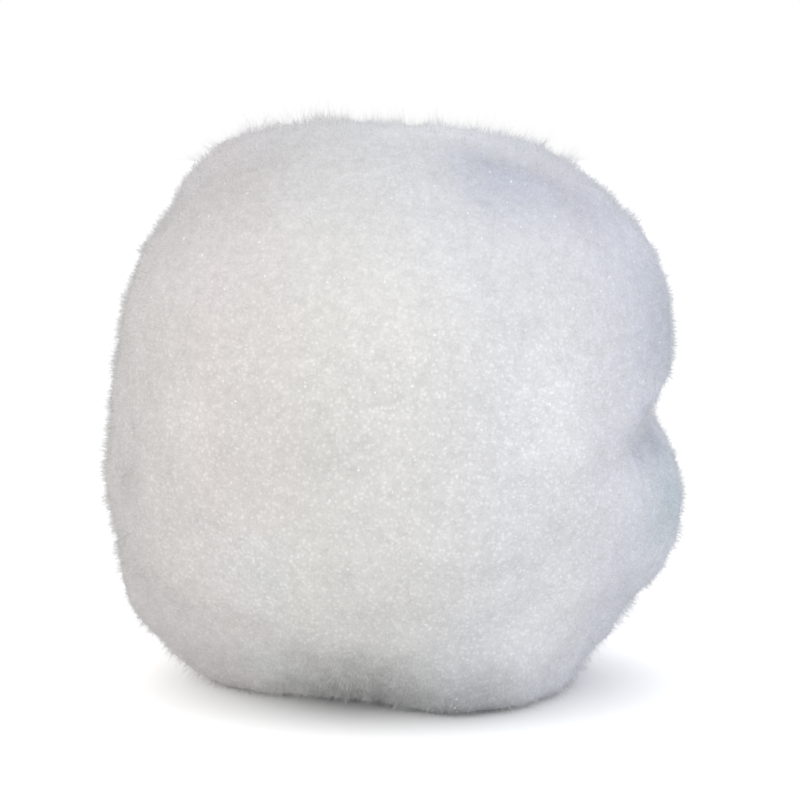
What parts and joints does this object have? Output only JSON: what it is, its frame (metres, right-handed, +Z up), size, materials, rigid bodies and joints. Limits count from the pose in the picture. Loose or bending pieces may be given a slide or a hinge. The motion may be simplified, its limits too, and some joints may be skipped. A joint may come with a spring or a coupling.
{
  "type": "fibre stuffing wad",
  "caption": "Soft wad of loose white hollow fibre stuffing: a boxy ball of tangled crimped fibre with a tucked crease at one side and a flattened underside.",
  "frame": {"origin": "middle of the underside, on the surface that the wad rests on", "axes": "+Z up, -Y the front that the picture shows, +X the viewer's right, where the tucked crease is"},
  "size_m": [0.109, 0.1012, 0.1054],
  "materials": {
    "hollow_fibre": "matt, soft and fluffy, with a faint sparkle from single fibres"
  },
  "bodies": {
    "root": {"fibre_wad": "hollow_fibre"}
  },
  "joints": []
}
